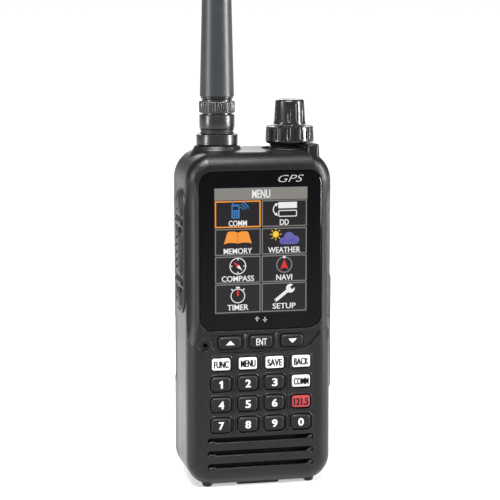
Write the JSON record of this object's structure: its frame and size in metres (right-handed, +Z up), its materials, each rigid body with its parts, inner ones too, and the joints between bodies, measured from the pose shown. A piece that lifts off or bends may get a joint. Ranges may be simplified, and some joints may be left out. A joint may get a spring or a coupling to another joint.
{
  "type": "handheld aviation radio",
  "caption": "Handheld airband radio with colour display, sprung keypad, concentric knobs, screw-on whip antenna, side talk key and clip-in battery.",
  "frame": {"origin": "on the surface the radio stands on, under the middle of its outer box", "axes": "+Z up along the antenna, front and keypad face -Y, +X to the right of someone facing the keypad"},
  "size_m": [0.0616, 0.0364, 0.295],
  "materials": {
    "case_plastic": "fine textured, satin",
    "knob_plastic": "smooth",
    "key_rubber": "satin",
    "light_key": "satin",
    "red_key": "satin",
    "soft_rubber": "matt",
    "antenna_rubber": "satin",
    "lens": "polished",
    "display_unit": "satin",
    "screw_steel": "blackened, worn",
    "plated_steel": "satin",
    "circuit_board": "satin",
    "speaker_frame": "satin",
    "brass": "satin",
    "cell_can": "wrapped"
  },
  "bodies": {
    "case": {"front_case": "case_plastic", "rear_chassis": "case_plastic", "case_screw_left": "screw_steel", "case_screw_right": "screw_steel", "display_lens": "lens", "lcd_module": "display_unit", "keypad_mat": "soft_rubber", "main_board": "circuit_board", "rf_shield": "plated_steel", "speaker": "speaker_frame", "microphone": "plated_steel", "antenna_socket": "brass", "antenna_collar": "case_plastic", "encoder_body": "plated_steel", "knob_seat": "soft_rubber", "side_bezel": "soft_rubber", "side_switch_board": "circuit_board", "jack_cover": "soft_rubber", "jack_screw_upper": "screw_steel", "jack_screw_lower": "screw_steel", "headset_jack": "speaker_frame", "usb_socket": "screw_steel", "contact_block": "brass"},
    "key_up": {"key_up": "key_rubber"},
    "key_enter": {"key_enter": "key_rubber"},
    "key_down": {"key_down": "key_rubber"},
    "key_func": {"key_func": "light_key"},
    "key_menu": {"key_menu": "light_key"},
    "key_save": {"key_save": "light_key"},
    "key_back": {"key_back": "light_key"},
    "key_1": {"key_1": "key_rubber"},
    "key_2": {"key_2": "key_rubber"},
    "key_3": {"key_3": "key_rubber"},
    "key_comm": {"key_comm": "light_key"},
    "key_4": {"key_4": "key_rubber"},
    "key_5": {"key_5": "key_rubber"},
    "key_6": {"key_6": "key_rubber"},
    "key_emergency": {"key_emergency": "red_key"},
    "key_7": {"key_7": "key_rubber"},
    "key_8": {"key_8": "key_rubber"},
    "key_9": {"key_9": "key_rubber"},
    "key_0": {"key_0": "key_rubber"},
    "ptt_button": {"ptt_button": "soft_rubber"},
    "monitor_button": {"monitor_button": "soft_rubber"},
    "lamp_button": {"lamp_button": "soft_rubber"},
    "volume_control": {"volume_knob": "knob_plastic", "inner_shaft": "screw_steel"},
    "dial_control": {"dial_ring_knob": "knob_plastic", "outer_shaft": "screw_steel"},
    "antenna_washer": {"antenna_seal": "soft_rubber"},
    "antenna": {"antenna_base": "knob_plastic", "antenna_core": "brass", "antenna_sheath": "antenna_rubber"},
    "data_cover": {"data_port_cover": "soft_rubber"},
    "battery": {"battery_case": "case_plastic", "battery_lid": "case_plastic", "cell_lower": "cell_can", "cell_upper": "cell_can"},
    "latch": {"battery_latch": "case_plastic"}
  },
  "joints": [
    {"name": "key_up_press", "type": "slide", "parent": "case", "child": "key_up", "axis": [0, 1, 0], "range_m": [0, 0.0008], "stiffness_N_per_m": 1500},
    {"name": "key_enter_press", "type": "slide", "parent": "case", "child": "key_enter", "axis": [0, 1, 0], "range_m": [0, 0.0008], "stiffness_N_per_m": 1500},
    {"name": "key_down_press", "type": "slide", "parent": "case", "child": "key_down", "axis": [0, 1, 0], "range_m": [0, 0.0008], "stiffness_N_per_m": 1500},
    {"name": "key_func_press", "type": "slide", "parent": "case", "child": "key_func", "axis": [0, 1, 0], "range_m": [0, 0.0008], "stiffness_N_per_m": 1500},
    {"name": "key_menu_press", "type": "slide", "parent": "case", "child": "key_menu", "axis": [0, 1, 0], "range_m": [0, 0.0008], "stiffness_N_per_m": 1500},
    {"name": "key_save_press", "type": "slide", "parent": "case", "child": "key_save", "axis": [0, 1, 0], "range_m": [0, 0.0008], "stiffness_N_per_m": 1500},
    {"name": "key_back_press", "type": "slide", "parent": "case", "child": "key_back", "axis": [0, 1, 0], "range_m": [0, 0.0008], "stiffness_N_per_m": 1500},
    {"name": "key_1_press", "type": "slide", "parent": "case", "child": "key_1", "axis": [0, 1, 0], "range_m": [0, 0.0008], "stiffness_N_per_m": 1500},
    {"name": "key_2_press", "type": "slide", "parent": "case", "child": "key_2", "axis": [0, 1, 0], "range_m": [0, 0.0008], "stiffness_N_per_m": 1500},
    {"name": "key_3_press", "type": "slide", "parent": "case", "child": "key_3", "axis": [0, 1, 0], "range_m": [0, 0.0008], "stiffness_N_per_m": 1500},
    {"name": "key_comm_press", "type": "slide", "parent": "case", "child": "key_comm", "axis": [0, 1, 0], "range_m": [0, 0.0008], "stiffness_N_per_m": 1500},
    {"name": "key_4_press", "type": "slide", "parent": "case", "child": "key_4", "axis": [0, 1, 0], "range_m": [0, 0.0008], "stiffness_N_per_m": 1500},
    {"name": "key_5_press", "type": "slide", "parent": "case", "child": "key_5", "axis": [0, 1, 0], "range_m": [0, 0.0008], "stiffness_N_per_m": 1500},
    {"name": "key_6_press", "type": "slide", "parent": "case", "child": "key_6", "axis": [0, 1, 0], "range_m": [0, 0.0008], "stiffness_N_per_m": 1500},
    {"name": "key_emergency_press", "type": "slide", "parent": "case", "child": "key_emergency", "axis": [0, 1, 0], "range_m": [0, 0.0008], "stiffness_N_per_m": 1500},
    {"name": "key_7_press", "type": "slide", "parent": "case", "child": "key_7", "axis": [0, 1, 0], "range_m": [0, 0.0008], "stiffness_N_per_m": 1500},
    {"name": "key_8_press", "type": "slide", "parent": "case", "child": "key_8", "axis": [0, 1, 0], "range_m": [0, 0.0008], "stiffness_N_per_m": 1500},
    {"name": "key_9_press", "type": "slide", "parent": "case", "child": "key_9", "axis": [0, 1, 0], "range_m": [0, 0.0008], "stiffness_N_per_m": 1500},
    {"name": "key_0_press", "type": "slide", "parent": "case", "child": "key_0", "axis": [0, 1, 0], "range_m": [0, 0.0008], "stiffness_N_per_m": 1500},
    {"name": "ptt_press", "type": "slide", "parent": "case", "child": "ptt_button", "axis": [1, 0, 0], "range_m": [0, 0.0012], "stiffness_N_per_m": 2500},
    {"name": "monitor_press", "type": "slide", "parent": "case", "child": "monitor_button", "axis": [1, 0, 0], "range_m": [0, 0.0008], "stiffness_N_per_m": 1500},
    {"name": "lamp_press", "type": "slide", "parent": "case", "child": "lamp_button", "axis": [1, 0, 0], "range_m": [0, 0.0008], "stiffness_N_per_m": 1500},
    {"name": "volume_turn", "type": "hinge", "parent": "case", "child": "volume_control", "pos_m": [0.0154, 0, 0.1415], "axis": [0, 0, 1], "range_deg": [-300, 0]},
    {"name": "dial_turn", "type": "hinge", "parent": "case", "child": "dial_control", "pos_m": [0.0154, 0, 0.134], "axis": [0, 0, 1], "continuous": true},
    {"name": "antenna_lift", "type": "slide", "parent": "case", "child": "antenna_washer", "axis": [0, 0, 1], "range_m": [0, 0.0042]},
    {"name": "antenna_unscrew", "type": "hinge", "parent": "antenna_washer", "child": "antenna", "pos_m": [-0.0138, 0, 0.1402], "axis": [0, 0, 1], "range_deg": [0, 2145]},
    {"name": "data_cover_open", "type": "hinge", "parent": "case", "child": "data_cover", "pos_m": [0.02895, 0.00365, 0.0592], "axis": [0, 0, 1], "range_deg": [0, 95]},
    {"name": "battery_tilt", "type": "hinge", "parent": "case", "child": "battery", "pos_m": [0, 0.0162, 0.1104], "axis": [1, 0, 0], "range_deg": [0, 30]},
    {"name": "latch_slide", "type": "slide", "parent": "battery", "child": "latch", "axis": [1, 0, 0], "range_m": [0, 0.0025]}
  ],
  "couplings": [
    {"joint": "antenna_unscrew", "follows": "antenna_lift", "rad_per_m": 8905}
  ]
}
